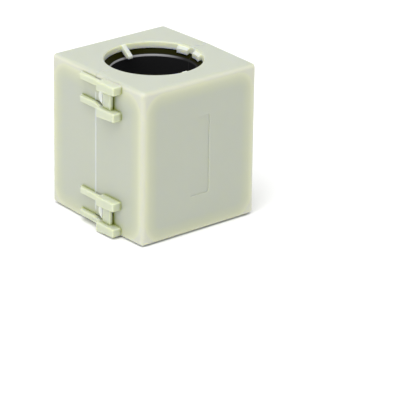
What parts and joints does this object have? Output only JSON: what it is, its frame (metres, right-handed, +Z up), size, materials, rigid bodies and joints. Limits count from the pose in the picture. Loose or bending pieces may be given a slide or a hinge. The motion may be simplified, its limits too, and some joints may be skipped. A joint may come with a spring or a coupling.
{
  "type": "clip on ferrite bead",
  "caption": "Square clip-on ferrite clamp in a pale nylon case, hinged on one side and latched on the other, with a round bore for a cable.",
  "frame": {"origin": "centre of the cable bore, midway between the two ends", "axes": "+Z up along the bore to the end with the cable fingers, -Y out of the label face, -X out of the latch face, +X out of the hinge face"},
  "size_m": [0.0478, 0.0412, 0.0454],
  "materials": {
    "case_nylon": "satin natural nylon, slightly translucent",
    "core_ferrite": "fired ferrite with a ground bore edge"
  },
  "bodies": {
    "back_half": {"back_case": "case_nylon", "back_core": "core_ferrite"},
    "front_half": {"front_case": "case_nylon", "front_core": "core_ferrite"}
  },
  "joints": [
    {"name": "case_hinge", "type": "hinge", "parent": "back_half", "child": "front_half", "pos_m": [0.02265, 0, 0], "axis": [0, 0, 1], "range_deg": [0, 150]}
  ]
}
